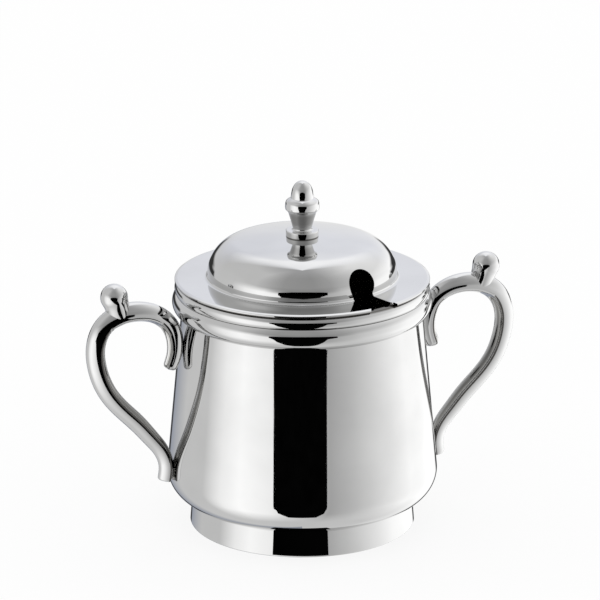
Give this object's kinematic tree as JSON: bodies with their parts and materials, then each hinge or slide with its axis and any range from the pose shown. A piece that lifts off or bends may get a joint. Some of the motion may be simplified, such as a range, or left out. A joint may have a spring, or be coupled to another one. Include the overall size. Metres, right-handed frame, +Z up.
{
  "type": "sugar pot",
  "caption": "Polished metal sugar pot with two scroll handles, a foot ring and a loose domed lid with a turned knob and a keyhole notch for a spoon.",
  "frame": {"origin": "centre of the foot's underside, on the pot's axis", "axes": "+Z up along the pot's axis, the two handles along X, the lid's spoon notch towards -Y and turned towards +X"},
  "size_m": [0.1376, 0.0842, 0.1099],
  "materials": {
    "bowl_plate": "mirror-polished silver plate on sheet",
    "fittings_plate": "mirror-polished silver plate on cast and turned pieces",
    "screw_brass": "turned, unplated"
  },
  "bodies": {
    "pot": {"pot_body": "bowl_plate", "rim_band": "fittings_plate", "foot_ring": "fittings_plate", "right_handle": "fittings_plate", "left_handle": "fittings_plate", "right_thumb_ball": "fittings_plate", "left_thumb_ball": "fittings_plate"},
    "lid": {"lid_cover": "bowl_plate", "lid_bezel": "fittings_plate", "knob": "fittings_plate", "knob_washer": "screw_brass", "knob_screw": "screw_brass"}
  },
  "joints": [
    {"name": "lid_lift", "type": "slide", "parent": "pot", "child": "lid", "axis": [0, 0, 1], "range_m": [0, 0.06]}
  ]
}
